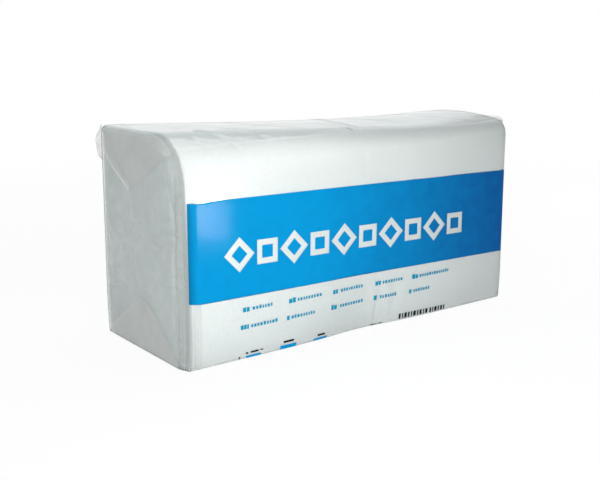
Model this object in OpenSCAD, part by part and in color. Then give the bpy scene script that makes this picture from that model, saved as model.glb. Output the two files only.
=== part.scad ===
// Pack of folded paper napkins: two stacks side by side in a clear printed film wrap.
// Millimetres. The origin is the middle of the base, +X runs along the pack to the right,
// +Y runs from the printed front to the back, and +Z is up.

/* [Napkins] */
// Side of one napkin folded in four
napkin_side = 165; // [120:1:210]
// Depth of each stack, from its front napkin to its back one
stack_depth = 121; // [90:1:150]
// Gap between the two stacks at the middle of the pack
stack_gap = 0.6; // [0.4:0.1:3]
// Depth of the bundle of folded edges between two grooves
bundle_depth = 7; // [5:0.5:12]
// Width of the groove between two bundles
groove_width = 1; // [0.6:0.1:1.6]
// Depth of the groove between two bundles
groove_depth = 0.6; // [0.3:0.1:1]

/* [Pack form] */
// Radius of the top front edge at the left end, where the napkins lean over most
left_front_radius = 37; // [16:1:42]
// Radius of the top front edge at the right end
right_front_radius = 10; // [8:1:42]
// Radius of the top back edge
back_radius = 8; // [5:0.5:14]
// Radius of the two long bottom edges
base_radius = 4; // [3:0.5:8]
// Radius of the four upright corners
corner_radius = 4; // [3:0.5:8]
// How far the front and back napkins slump below the middle ones at the right end
right_slump = 7; // [0:0.5:12]
// How far the top sags midway along the pack
top_sag = 3; // [0:0.5:4]
// How far the front and back belly out near the base at the left end
left_belly = 2; // [0:0.5:7]
// How far the front and back belly out near the base at the right end
right_belly = 1; // [0:0.5:7]
// Height at which the belly is fullest
belly_height = 31; // [22:1:50]
// How far the front and back draw in at the base, between the two stacks
seam_dent = 5; // [0:0.5:6]
// Reach of that dent to each side of the gap
dent_reach = 35; // [25:1:50]

/* [Film] */
// Wall of the wrap
film_wall = 0.4; // [0.3:0.05:0.6]
// Clearance between the wrap and the napkins
film_clearance = 0.3; // [0.25:0.05:0.8]
// Thickness of a flap folded over the end
flap_thickness = 0.4; // [0.3:0.1:0.8]
// Drop of the top flap's point below the top of the pack
top_flap_drop = 46; // [30:1:55]
// Rise of the bottom flap's point above the base
bottom_flap_rise = 42; // [25:1:50]
// Place of the top flap's point behind the middle of the end
top_point_back = 12; // [-20:1:20]
// Place of the bottom flap's point behind the middle of the end
bottom_point_back = 0; // [-20:1:20]
// How far each flap widens to a side for each millimetre away from its point
flap_spread = 1.6; // [1.2:0.1:1.8]
// Width of the creases where the side tucks meet and fold on the end
tuck_crease = 0.5; // [0.3:0.1:1]
// Distance of the long fold in the end from the front
fold_back = 11; // [9:1:16]
// Distance between the ends of that fold and the flaps
fold_margin = 5; // [3:0.5:8]
// Width of the lap seam along the back
lap_width = 16; // [8:1:25]
// Thickness of the lap seam
lap_thickness = 0.4; // [0.3:0.1:0.8]
// Height of the lap seam's middle above the base
lap_height = 92; // [60:1:110]

/* [Print] */
// Height of the band of ink
band_height = 72; // [50:1:80]
// Height of the band's middle above the base
band_middle = 82; // [70:1:90]
// Fall of the band from left to right, in degrees
band_fall = 0.7; // [0:0.1:1]
// Depth of the ink in the wall
ink_depth = 0.15; // [0.1:0.05:0.2]
// Clearance round the ink
ink_clearance = 0.03; // [0.02:0.01:0.05]
// Number of plain motifs left bare in the band
motif_count = 10; // [4:1:12]
// Size of one motif across its corners
motif_size = 26; // [16:1:30]
// Distance from one motif to the next
motif_pitch = 24.5; // [20:0.5:28]
// Shift of the row of motifs along the band
motif_shift = -9; // [-15:1:15]
// Width of a motif's line
motif_line = 4.5; // [2:0.5:6]
// Drop of the motifs below the band's middle
motif_drop = 4; // [0:1:10]

/* [Hidden] */

// Steps round each kind of edge, and up each flat side
front_steps = 9;
back_steps = 4;
base_steps = 3;
corner_steps = 3;
side_steps = 5;
top_steps = 5;
// Sections along one stack between its rounded corners
stack_sections = 5;
// How much of an upright corner's rounding shows on top and at the base
corner_top_share = 0.5;
corner_base_share = 0.2;
// A cut reaches this far past what it cuts
past = 5;

// The wrap stands off the napkins by its wall and its clearance
napkin_inset = film_wall + film_clearance;
stack_inner = stack_gap / 2;
stack_outer = stack_inner + napkin_side;
half_length = stack_outer + napkin_inset;
half_depth = stack_depth / 2 + napkin_inset;
pack_height = napkin_side + 2 * napkin_inset;

// Points of an arc from angle a to angle b
function arc(centre, radius, a, b, steps) = [
    for (i = [0 : steps])
        let (angle = a + (b - a) * i / steps)
        centre + radius * [cos(angle), sin(angle)]
];

// Points between two ends, without the ends
function between(from, to, steps) = [for (i = [1 : steps - 1]) from + (to - from) * i / steps];

function blend(a, b, share) = a + (b - a) * share;

// Share of the way along the pack, from 0 at the left end to 1 at the right end
function along(x) = min(1, max(0, (x + half_length) / (2 * half_length)));

function front_radius(x) = blend(left_front_radius, right_front_radius, along(x));

// Fall of the top at the front and back faces
function slump(x) = right_slump * along(x);

// Fall of the whole top, none at the ends and most a little right of the middle
function sag(x) = let (share = pow(along(x), 1.5)) top_sag * 4 * share * (1 - share);

// The belly rises to its full width at belly_height and fades upwards
function belly(x, z) =
    let (share = max(0, z) / belly_height)
    blend(left_belly, right_belly, along(x)) * share * exp(1 - share);

// The dent is deepest at the base, midway along the pack
function dent(x, z) =
    seam_dent * exp(-pow(x / dent_reach, 2)) * pow(max(0, 1 - z / pack_height), 1.5);

// Sets a point of the plain section at x into the pack's real form
function formed(x, point) =
    let (side = point[0] / half_depth, z = point[1])
    [
        x,
        point[0] + side * (belly(x, z) - dent(x, z)),
        z - (slump(x) * pow(side, 2) + sag(x)) * pow(max(0, z / pack_height), 4)
    ];

// Half depth, top and base of a section, set in all round and tucked in at an upright corner
function side_of(inset, tuck) = half_depth - inset - tuck;
function top_of(inset, tuck) = pack_height - inset - tuck * corner_top_share;
function base_of(inset, tuck) = inset + tuck * corner_base_share;

// From the bottom front edge up the front
function front_outline(x, inset, tuck) =
    let (
        side = side_of(inset, tuck),
        base = base_of(inset, tuck),
        radius = base_radius - inset,
        arc_start = top_of(inset, tuck) - front_radius(x) + inset
    )
    concat(
        arc([radius - side, base + radius], radius, 270, 180, base_steps),
        between([-side, base + radius], [-side, arc_start], side_steps)
    );

// Down the back and round the bottom back edge
function back_outline(x, inset, tuck) =
    let (
        side = side_of(inset, tuck),
        base = base_of(inset, tuck),
        radius = base_radius - inset,
        arc_start = top_of(inset, tuck) - back_radius + inset
    )
    concat(
        between([side, arc_start], [side, base + radius], side_steps),
        arc([side - radius, base + radius], radius, 0, -90, base_steps)
    );

// The wrap is smooth over the top
function smooth_top(x, inset, tuck) =
    let (
        side = side_of(inset, tuck),
        top = top_of(inset, tuck),
        front = front_radius(x) - inset,
        back = back_radius - inset
    )
    concat(
        arc([front - side, top - front], front, 180, 90, front_steps),
        between([front - side, top], [side - back, top], top_steps),
        arc([side - back, top - back], back, 90, 0, back_steps)
    );

// Height of the top at y, rounded down to the front and to the back
function top_at(x, y, inset, tuck) =
    let (
        side = side_of(inset, tuck),
        front = front_radius(x) - inset,
        back = back_radius - inset,
        into_front = max(0, front - side - y),
        into_back = max(0, y - side + back)
    )
    top_of(inset, tuck) - front - back
        + sqrt(max(0, pow(front, 2) - pow(into_front, 2)))
        + sqrt(max(0, pow(back, 2) - pow(into_back, 2)));

// The napkins' folded edges show as ridges, drawn together where the corner is tucked in
bundle_count = floor(stack_depth / bundle_depth);
function draw_in(tuck) = 1 - 2 * tuck / stack_depth;
function groove_at(i, tuck) = (i / bundle_count - 0.5) * stack_depth * draw_in(tuck);
function ridged_top(x, inset, tuck) = [
    for (i = [0 : bundle_count - 1])
        let (
            front = groove_at(i, tuck) + groove_width / 2,
            back = groove_at(i + 1, tuck) - groove_width / 2,
            groove = groove_at(i + 1, tuck),
            last = i == bundle_count - 1
        )
        each concat(
            [for (y = [front, back]) [y, top_at(x, y, inset, tuck)]],
            last ? [] : [[groove, top_at(x, groove, inset, tuck) - groove_depth]]
        )
];

function smooth_section(x, inset, tuck) = [
    for (point = concat(
        front_outline(x, inset, tuck),
        smooth_top(x, inset, tuck),
        back_outline(x, inset, tuck)
    )) formed(x, point)
];

function ridged_section(x, inset, tuck) = [
    for (point = concat(
        front_outline(x, inset, tuck),
        ridged_top(x, inset, tuck),
        back_outline(x, inset, tuck)
    )) formed(x, point)
];

// Sections of one rounded upright corner, each a place and a tuck, from its end inwards
function corner_stations(end, inward) = [
    for (i = [0 : corner_steps])
        let (angle = 90 * i / corner_steps)
        [end + inward * corner_radius * (1 - cos(angle)), corner_radius * (1 - sin(angle))]
];
function reversed(list) = [for (i = [len(list) - 1 : -1 : 0]) list[i]];

// Sections between the corners of the left stack and of the right stack, shared by the wrap
left_stations = [
    for (x = between(corner_radius - stack_outer, -corner_radius - stack_inner, stack_sections)) [x, 0]
];
right_stations = [for (station = reversed(left_stations)) [-station[0], 0]];
seam_stations = [for (side = [-1, 1]) [side * (corner_radius + stack_inner), 0]];

// A solid through a row of sections with the same number of points
module loft(sections) {
    count = len(sections[0]);
    last = len(sections) - 1;
    sides = [
        for (i = [0 : last - 1])
            for (j = [0 : count - 1])
                let (
                    here = i * count + j,
                    next = i * count + (j + 1) % count
                )
                each [[here, next, next + count], [here, next + count, here + count]]
    ];
    left_end = [for (j = [0 : count - 1]) count - 1 - j];
    right_end = [for (j = [0 : count - 1]) last * count + j];
    polyhedron(
        points = [for (section = sections) each section],
        faces = concat(sides, [left_end, right_end])
    );
}

// The pack's whole form, set in all round
module pack_form(inset) {
    reach = half_length - inset;
    stations = concat(
        corner_stations(-reach, 1),
        left_stations,
        seam_stations,
        right_stations,
        reversed(corner_stations(reach, -1))
    );
    loft([for (station = stations) smooth_section(station[0], inset, station[1])]);
}

// One stack as a solid: folded edges run over the top, along the base and up the outer end
module napkin_stack(outward) {
    left_end = outward < 0 ? -stack_outer : stack_inner;
    middle = outward < 0 ? left_stations : right_stations;
    stations = concat(
        corner_stations(left_end, 1),
        middle,
        reversed(corner_stations(left_end + napkin_side, -1))
    );
    end_cut = outward < 0 ? left_end - past : left_end + napkin_side - groove_depth;
    difference() {
        loft([for (station = stations) ridged_section(station[0], napkin_inset, station[1])]);
        for (i = [1 : bundle_count - 1]) {
            front = groove_at(i, corner_radius) - groove_width / 2;
            translate([end_cut, front, -past])
                cube([past + groove_depth, groove_width, pack_height + 2 * past]);
            translate([left_end - past, front, -past])
                cube([napkin_side + 2 * past, groove_width, past + napkin_inset + groove_depth]);
        }
    }
}

module napkin_stack_left() {
    color("white") napkin_stack(-1);
}

module napkin_stack_right() {
    color("white") napkin_stack(1);
}

// Heights of the points of the two pointed flaps that close an end
bottom_point = bottom_flap_rise;
top_point = pack_height - top_flap_drop;

// Heights of the flaps' slanting edges at y
function top_edge(y) = top_point + abs(y - top_point_back) / flap_spread;
function bottom_edge(y) = bottom_point - abs(y - bottom_point_back) / flap_spread;

// Outline of the two flaps, seen along the pack
module flap_outline() {
    end_face = [
        for (point = smooth_section(half_length, 0, corner_radius)) [point[1], point[2]]
    ];
    intersection() {
        polygon(end_face);
        union() {
            flap_triangle([top_point_back, top_point], 1, top_flap_drop + past);
            flap_triangle([bottom_point_back, bottom_point], -1, bottom_flap_rise + past);
        }
    }
}

// A flap with its point at a place, opening up or down
module flap_triangle(point, upward, reach) {
    polygon([
        point,
        point + reach * [-flap_spread, upward],
        point + reach * [flap_spread, upward]
    ]);
}

// Outline of a crease between two places
module crease_outline(from, to) {
    half = [tuck_crease / 2, 0];
    polygon([from - half, from + half, to + half, to - half]);
}

// The side tucks meet in a crease between the flaps' points, and fold along the front
module crease_outlines() {
    fold_y = fold_back - half_depth;
    crease_outline([bottom_point_back, bottom_point], [top_point_back, top_point]);
    crease_outline(
        [fold_y, bottom_edge(fold_y) + fold_margin],
        [fold_y, top_edge(fold_y) - fold_margin]
    );
}

// Stands an outline seen along the pack on x, with its thickness towards +X
module across(x, thickness) {
    translate([x, 0, 0])
        rotate([90, 0, 90])
            linear_extrude(thickness)
                children();
}

// The flaps of one end lie on its face, sunk half into the wall
module end_flaps(outward) {
    sunk = film_wall / 2;
    across(outward < 0 ? -half_length - flap_thickness : half_length - sunk, sunk + flap_thickness)
        flap_outline();
}

module end_creases() {
    for (end = [-half_length, half_length])
        across(end - film_wall / 2, film_wall)
            crease_outlines();
}

// The wrap's lengthwise seam, lapped on the back
module lap_seam() {
    intersection() {
        pack_form(-lap_thickness);
        translate([corner_radius - half_length, 0, lap_height - lap_width / 2])
            cube([2 * (half_length - corner_radius), half_depth + past, lap_width]);
    }
}

// Room that the band takes on the front, grown all round
module band_area(grow) {
    length = 2 * (half_length - corner_radius + grow);
    height = band_height + 2 * grow;
    translate([0, 0, band_middle])
        rotate([0, band_fall, 0])
            translate([-length / 2, -half_depth - past - left_belly, -height / 2])
                cube([length, half_depth + past + left_belly, height]);
}

// A row of plain square frames, every second one set on its corner, standing through the front
module motifs(grow) {
    outer = motif_size / sqrt(2) + 2 * grow;
    inner = motif_size / sqrt(2) - 2 * motif_line - 2 * grow;
    translate([motif_shift, 0, band_middle])
        rotate([0, band_fall, 0])
            for (i = [0 : motif_count - 1])
                translate([(i - (motif_count - 1) / 2) * motif_pitch, 0, -motif_drop])
                    rotate([90, i % 2 == 0 ? 45 : 0, 0])
                        linear_extrude(half_depth + past + left_belly)
                            difference() {
                                square(outer, center = true);
                                square(inner, center = true);
                            }
}

// Recess for the ink, with the bare motifs left standing at the wrap's face
module ink_recess() {
    difference() {
        band_area(ink_clearance);
        pack_form(ink_depth + ink_clearance);
        motifs(-ink_clearance);
    }
}

module film_wrap() {
    color([0.86, 0.92, 0.92, 0.45])
        difference() {
            union() {
                pack_form(0);
                end_flaps(-1);
                end_flaps(1);
                lap_seam();
            }
            pack_form(film_wall);
            end_creases();
            ink_recess();
        }
}

module printed_band() {
    color("dodgerblue")
        difference() {
            intersection() {
                pack_form(0);
                band_area(0);
            }
            pack_form(ink_depth);
            motifs(0);
        }
}

film_wrap();
printed_band();
napkin_stack_left();
napkin_stack_right();
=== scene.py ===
"""Looks of a pack of folded paper napkins in a clear printed film wrap.

Lengths inside the script are millimetres in the part's own frame: +X runs along the pack to the
right, +Y from the printed front to the back and +Z up. make_mesh() turns them into metres.
"""
import math

import bmesh
import bpy
import numpy as np
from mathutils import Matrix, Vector, geometry


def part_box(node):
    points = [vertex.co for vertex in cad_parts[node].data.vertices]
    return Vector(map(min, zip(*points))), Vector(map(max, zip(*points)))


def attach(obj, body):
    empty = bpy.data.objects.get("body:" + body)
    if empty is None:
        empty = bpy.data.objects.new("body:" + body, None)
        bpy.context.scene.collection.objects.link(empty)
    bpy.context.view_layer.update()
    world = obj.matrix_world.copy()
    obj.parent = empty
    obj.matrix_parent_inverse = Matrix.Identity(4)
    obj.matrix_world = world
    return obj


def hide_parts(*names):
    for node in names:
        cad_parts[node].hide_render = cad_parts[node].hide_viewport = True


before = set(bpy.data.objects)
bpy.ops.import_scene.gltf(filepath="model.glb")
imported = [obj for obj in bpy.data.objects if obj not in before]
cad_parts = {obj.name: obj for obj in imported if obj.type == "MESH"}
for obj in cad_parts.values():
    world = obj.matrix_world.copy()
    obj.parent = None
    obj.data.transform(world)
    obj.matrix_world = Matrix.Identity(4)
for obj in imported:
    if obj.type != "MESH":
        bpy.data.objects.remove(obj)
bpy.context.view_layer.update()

MM = 0.001


def in_mm(length):
    """A length of the frame in millimetres, to a tenth."""
    return round(length / MM, 1)


# Sizes of the napkins, from the two stacks in the frame, and a stack's depth without its bulges
LEFT_STACK_LOW, LEFT_STACK_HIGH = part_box("napkin_stack_left")
RIGHT_STACK_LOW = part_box("napkin_stack_right")[0]
NAPKIN_SIDE = in_mm(LEFT_STACK_HIGH[0] - LEFT_STACK_LOW[0])
STACK_GAP = in_mm(RIGHT_STACK_LOW[0] - LEFT_STACK_HIGH[0])
NAPKIN_INSET = in_mm(LEFT_STACK_LOW[2])
STACK_DEPTH = 121.0

# Form of the pack: its rounded edges and upright corners, how far its right end slumps and its
# top sags, how far its front and back belly out, the dent at the gap between the stacks, and how
# much lower the top and how much higher the base lie at an upright corner, for each mm drawn in
LEFT_FRONT_RADIUS = 37.0
RIGHT_FRONT_RADIUS = 10.0
BACK_RADIUS = 8.0
BASE_RADIUS = 0.9
CORNER_RADIUS = 4.0
RIGHT_CORNER_RADIUS = 5.0
RIGHT_SLUMP = 7.0
TOP_SAG = 3.0
LEFT_BELLY = 2.0
RIGHT_BELLY = 1.0
BELLY_HEIGHT = 31.0
SEAM_DENT = 4.2
DENT_REACH = 38.0
CORNER_TOP_SHARE = 0.5
CORNER_BASE_SHARE = 0.2

STACK_INNER = STACK_GAP / 2
STACK_OUTER = STACK_INNER + NAPKIN_SIDE
HALF_LENGTH = STACK_OUTER + NAPKIN_INSET
HALF_DEPTH = STACK_DEPTH / 2 + NAPKIN_INSET
PACK_HEIGHT = NAPKIN_SIDE + 2 * NAPKIN_INSET

# How far the printed ink stands on the film
INK_RISE = 0.12

# Rounding of a napkin's fold where the two stacks meet
FOLD_RADIUS = 0.6

# One folded napkin at the front
SHEET_THICKNESS = 0.45

# The front napkins of the left stack lie farther and farther to the right: how deep inside the
# front the left end starts to slant back, and how steeply
FAN_DEPTH = 9.4
FAN_SLOPE = 0.53

# Left edges of the first front napkins, the step at each edge, how much painted shadow each edge
# puts on the film (below the band, above it), and where the napkins under the first one end
LEAF_EDGES = (-153.1, -155.3, -157.5, -159.7)
LEAF_STEP = 0.33
LEAF_SHADES = ((0.04, 0.0), (0.05, 0.0), (0.11, 0.04), (0.0, 0.04))
LEAF_END = -140.0

# Napkin edges that stand out on the slanted strip, as places from front to back
STRIP_EDGES = (-60.3, -58.4, -56.3, -54.4, -52.9)

# Right edge of the front napkin of the right stack
RIGHT_SHEET_EDGE = 158.0

# The printed band: height of its middle, its lower and upper edges from there, its fall to the
# right and its two ends
BAND_MIDDLE = 82.0
BAND_BASE = -36.3
BAND_TOP_LEFT = 36.9
BAND_TOP_RIGHT = 39.1
BAND_FALL = math.radians(0.7)
BAND_LEFT = -161.0
BAND_RIGHT = HALF_LENGTH - 2.9

# How far the band's lower edge rises and its upper edge drops at the left upright corner
BAND_BASE_RISE = 1.8
BAND_TOP_DROP = 0.5

# The row of square frames left bare in the band: their number, diagonal, pitch, shift along the
# band, width of line and drop below the band's middle
MOTIF_COUNT = 10
MOTIF_DIAGONAL = 26.0
MOTIF_PITCH = 24.5
MOTIF_SHIFT = -9.0
MOTIF_LINE = 4.5
MOTIF_DROP = 4.0

# Points of each end's two flaps, as (place from front to back, height)
TOP_POINT = (12.5, 121.0)
BASE_POINT = (0.0, 42.0)

# The two ends by the way they look along X, each with the seed of its crumpled film
LEFT = -1
RIGHT = 1
END_SEEDS = {LEFT: 31, RIGHT: 57}

# Size of the small faces in the flat pieces
INK_FACE = 1.3
FINE_INK_FACE = 0.7
FLAP_FACE = 1.6
LAP_FACE = 2.4


# Smooth steps, bells, lines and noise

def smooth(low, high, value):
    """0 at low, 1 at high and a smooth rise between them."""
    share = np.clip((value - low) / (high - low), 0, 1)
    return share * share * (3 - 2 * share)


def bell(distance, reach):
    return np.exp(-(distance / reach) ** 2)


def distance_to(u, v, line):
    """Distance from each place (u, v) to a line of several points."""
    nearest = np.full(np.shape(u), 1e9)
    for (u0, v0), (u1, v1) in zip(line, line[1:]):
        du, dv = u1 - u0, v1 - v0
        share = np.clip(((u - u0) * du + (v - v0) * dv) / (du * du + dv * dv), 0, 1)
        nearest = np.minimum(nearest, np.hypot(u - u0 - share * du, v - v0 - share * dv))
    return nearest


def creases(u, v, lines):
    """Sum of creases, each a line with a reach and a height, sunk where the height is negative."""
    total = np.zeros(np.shape(u))
    for line, reach, height in lines:
        total += height * bell(distance_to(u, v, line), reach)
    return total


def lattice(i, j, seed):
    """A fixed pseudo-random number from -1 to 1 for each whole i and j."""
    mixed = np.sin(i * 127.1 + j * 311.7 + seed * 74.7) * 43758.5453
    return 2 * (mixed - np.floor(mixed)) - 1


def soft_noise(u, v, seed):
    """Smooth noise from -1 to 1 with hills about one unit across."""
    i = np.floor(u)
    j = np.floor(v)
    a = smooth(0, 1, u - i)
    b = smooth(0, 1, v - j)
    near = lattice(i, j, seed) * (1 - a) + lattice(i + 1, j, seed) * a
    far = lattice(i, j + 1, seed) * (1 - a) + lattice(i + 1, j + 1, seed) * a
    return near * (1 - b) + far * b


def facet_noise(u, v, seed):
    """Flat three-sided facets with sharp creases between them, as in crumpled film."""
    u = u + 0.45 * soft_noise(u * 0.8, v * 0.8, seed + 11)
    v = v + 0.45 * soft_noise(u * 0.8, v * 0.8, seed + 23)
    skew = (u + v) * 0.366
    a = u + skew
    b = v + skew
    i = np.floor(a)
    j = np.floor(b)
    a = a - i
    b = b - j
    corner = lattice(i, j, seed)
    opposite = lattice(i + 1, j + 1, seed)
    side = np.where(a > b, lattice(i + 1, j, seed), lattice(i, j + 1, seed))
    high = np.maximum(a, b)
    low = np.minimum(a, b)
    return corner * (1 - high) + side * (high - low) + opposite * low


# The pack's form

def along(x):
    return np.clip((x + HALF_LENGTH) / (2 * HALF_LENGTH), 0, 1)


def mix(a, b, share):
    return a + (b - a) * share


def front_radius(x):
    return mix(LEFT_FRONT_RADIUS, RIGHT_FRONT_RADIUS, along(x))


def formed(x, y, z):
    """A point of the plain rounded box, set into the pack's real form."""
    side = y / HALF_DEPTH
    share = np.maximum(z, 0) / BELLY_HEIGHT
    belly = mix(LEFT_BELLY, RIGHT_BELLY, along(x)) * share * np.exp(1 - share)
    dent = SEAM_DENT * bell(x, DENT_REACH) * np.clip(1 - z / PACK_HEIGHT, 0, 1) ** 3
    slump = RIGHT_SLUMP * along(x)
    late = along(x) ** 1.5
    sag = TOP_SAG * 4 * late * (1 - late)
    fall = (slump * side ** 2 + sag) * np.clip(z / PACK_HEIGHT, 0, None) ** 4
    return np.stack(np.broadcast_arrays(x, y + side * (belly - dent), z - fall), -1)


def top_at(x, y, inset, tuck):
    """Height of the plain top, rounded down to the front and to the back."""
    side = HALF_DEPTH - inset - tuck
    front = front_radius(x) - inset
    back = BACK_RADIUS - inset
    into_front = np.clip(front - side - y, 0, front)
    into_back = np.clip(y - side + back, 0, back)
    top = PACK_HEIGHT - inset - tuck * CORNER_TOP_SHARE
    over_front = np.sqrt(front ** 2 - into_front ** 2)
    over_back = np.sqrt(back ** 2 - into_back ** 2)
    return top - front - back + over_front + over_back


def base_at(y, inset, tuck):
    """Height of the plain base, rounded up at the front and at the back."""
    side = HALF_DEPTH - inset - tuck
    radius = BASE_RADIUS - inset
    into = np.clip(np.abs(y) - side + radius, 0, radius)
    return inset + tuck * CORNER_BASE_SHARE + radius - np.sqrt(radius ** 2 - into ** 2)


# Meshes

def make_mesh(name, points, faces, weld=0.0):
    """An object from points in millimetres, with smooth faces that look outward."""
    mesh = bpy.data.meshes.new(name)
    mesh.from_pydata([tuple(p) for p in np.asarray(points) * MM], [], faces)
    piece = bpy.data.objects.new(name, mesh)
    bpy.context.scene.collection.objects.link(piece)
    work = bmesh.new()
    work.from_mesh(mesh)
    if weld > 0:
        bmesh.ops.remove_doubles(work, verts=work.verts, dist=weld * MM)
        bmesh.ops.dissolve_degenerate(work, dist=weld * MM, edges=work.edges)
    bmesh.ops.recalc_face_normals(work, faces=work.faces)
    for face in work.faces:
        face.smooth = True
    work.to_mesh(mesh)
    work.free()
    return piece


def face_along(piece, direction):
    """Turns an open sheet's faces so that they look along the direction."""
    mesh = piece.data
    total = Vector((0, 0, 0))
    for face in mesh.polygons:
        total += face.normal * face.area
    if total.dot(Vector(direction)) < 0:
        mesh.flip_normals()


def points_of(piece):
    flat = np.empty(len(piece.data.vertices) * 3)
    piece.data.vertices.foreach_get("co", flat)
    return flat.reshape(-1, 3) / MM


def normals_of(piece):
    flat = np.empty(len(piece.data.vertices) * 3, np.float32)
    piece.data.vertex_normals.foreach_get("vector", flat)
    return flat.reshape(-1, 3).astype(float)


def set_points(piece, points):
    piece.data.vertices.foreach_set("co", (points * MM).ravel())
    piece.data.update()


def paint(piece, name, values):
    """Keeps a number at each point of the piece, for its material."""
    flat = np.empty(len(piece.data.vertices), np.float32)
    flat[:] = values
    layer = piece.data.attributes.new(name, "FLOAT", "POINT")
    layer.data.foreach_set("value", flat)


class Shell:
    """Collects grids of points into one mesh."""

    def __init__(self):
        self.points = []
        self.faces = []
        self.count = 0

    def add(self, grid):
        rows, columns = grid.shape[:2]
        for i in range(rows - 1):
            here = self.count + i * columns
            for j in range(here, here + columns - 1):
                self.faces.append((j, j + 1, j + columns + 1, j + columns))
        self.points.append(grid.reshape(-1, 3))
        self.count += rows * columns

    def piece(self, name):
        return make_mesh(name, np.concatenate(self.points), self.faces, weld=0.002)


def end_grid(place, depths, inset, rise):
    """The flat face of one end, from the base to the top."""
    x, tuck = place
    y = depths[:, None]
    low = base_at(y, inset, tuck)
    high = top_at(x, y, inset, tuck)
    return formed(x, y, mix(low, high, rise))


def build_form(name, places, depths_at, inset, rise, ends):
    """A skin of the pack's form: places are (x, tuck) pairs from left to right, depths_at(x, tuck)
    gives the places from front to back and rise the share of each row up the sides."""
    top, base, front, back = [], [], [], []
    for x, tuck in places:
        y = depths_at(x, tuck)
        high = top_at(x, y, inset, tuck)
        low = base_at(y, inset, tuck)
        top.append(formed(x, y, high))
        base.append(formed(x, y, low))
        for column, index in ((front, 0), (back, -1)):
            column.append(formed(x, y[index], mix(low[index], high[index], rise)))
    shell = Shell()
    for rows in (top, base, front, back):
        shell.add(np.array(rows))
    if ends:
        for place in (places[0], places[-1]):
            shell.add(end_grid(place, depths_at(*place), inset, rise))
    return shell.piece(name)


def corner_places(end, inward, radius, steps):
    """Places round an upright corner, from its end inwards, with their tucks."""
    angles = np.linspace(0, math.pi / 2, steps + 1)
    return [(end + inward * radius * (1 - math.cos(a)), radius * (1 - math.sin(a))) for a in angles]


# Relief of the wrap

# Creases on the front, as (line of (x, z), reach, height)
FRONT_CREASES = (
    (((10, 52), (13, 46), (17, 38), (18, 28), (15, 18), (14, 0)), 2.0, -0.22),
    (((6, 50), (9, 40), (12, 30), (10, 16), (9, 2)), 4.5, 0.25),
    (((24, 46), (25, 30), (22, 10)), 5.0, 0.2),
    (((-2, 150), (-1, 132), (1, 112), (5, 84), (11, 56)), 2.2, -0.12),
    (((118, 14), (140, 9), (160, 5)), 2.0, -0.3),
    (((150, 40), (158, 30)), 2.5, -0.25),
)

# Creases on the top, as (line of (x, y), reach, height)
TOP_CREASES = (
    (((26, 52), (22, 40), (14, 12), (8, -8), (6, -30), (8, -47)), 1.7, -0.8),
    (((32, 50), (27, 40), (19, 10), (13, -10), (11, -40)), 3.0, 0.35),
    (((-134, -28), (-126, -36), (-112, -54)), 1.3, -0.9),
    (((-131, -27), (-121, -37), (-108, -54)), 1.6, 0.6),
    (((-146, -36), (-140, -46), (-133, -54)), 1.5, -0.6),
    (((-104, -20), (-92, -38), (-86, -48)), 1.8, -0.6),
    (((-68, 6), (-54, -18), (-46, -36)), 2.0, -0.5),
    (((40, 10), (56, -16), (62, -38)), 2.2, -0.5),
    (((96, 36), (112, 4), (124, -30)), 2.4, -0.5),
    (((6, -53), (14, -56)), 1.6, -0.5),
)

# Creases on each end, as (line of (y, z), reach, height), with y as seen on the left end
END_CREASES = (
    (((-44, 150), (-46, 132), (-51, 115), (-53, 104), (-52, 85), (-52, 55)), 1.1, -0.6),
    (((-47, 118), (-49, 100), (-48.5, 60), (-49, 30)), 1.2, 0.5),
    (((12.5, 120), (13, 108), (8, 92), (9, 74), (3, 58), (0, 43)), 1.4, -0.5),
    (((20, 97), (8, 95), (-6, 99)), 1.3, -0.9),
    (((18, 94), (8, 92), (-4, 95)), 1.3, 0.6),
    (((16, 81), (9, 83), (2, 87)), 1.5, -0.9),
    (((26, 76), (17, 78), (9, 80)), 1.1, 0.9),
    (((25, 73), (21, 76)), 1.6, 0.8),
    (((52, 87), (43, 84), (33, 82)), 1.2, -0.8),
    (((53, 72), (46, 70), (36, 73)), 1.2, -0.8),
    (((41, 57), (35, 59)), 1.2, -0.9),
    (((45, 44), (34, 46), (25, 48)), 1.2, 0.8),
    (((46, 41), (34, 43), (22, 45)), 1.2, -0.6),
    (((53, 56), (40, 52), (24, 54)), 1.8, -0.6),
    (((25, 63), (20, 62), (17, 66)), 1.3, -0.7),
    (((-28, 61), (-22, 58), (-20, 53), (-24, 46), (-32, 40)), 1.4, -1.0),
    (((-25, 62), (-17, 56), (-18, 49)), 1.5, 0.7),
    (((-46, 92), (-42, 86), (-38, 81), (-40, 78)), 1.1, -1.0),
    (((-52, 104), (-42, 103), (-30, 100)), 1.4, 0.8),
    (((-49, 99), (-38, 98), (-30, 94)), 1.2, -0.9),
    (((-47, 95), (-36, 92), (-20, 90)), 1.4, 0.7),
    (((-36, 89), (-30, 85), (-18, 88)), 1.2, -0.7),
    (((-30, 66), (-40, 68), (-52, 67)), 1.1, -0.8),
    (((-26, 58), (-40, 57), (-52, 60)), 1.1, -0.8),
    (((-28, 54), (-42, 55), (-51, 56)), 1.2, 0.6),
    (((12, 55), (9, 50), (11, 44)), 1.6, 0.9),
    (((-10, 52), (-2, 56), (4, 57)), 1.4, -0.7),
    (((-24, 112), (-26, 100)), 1.8, -0.5),
    (((-30, 125), (-14, 112), (4, 106)), 2.6, 0.5),
    (((40, 112), (24, 104), (12, 106)), 2.4, -0.5),
)


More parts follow.
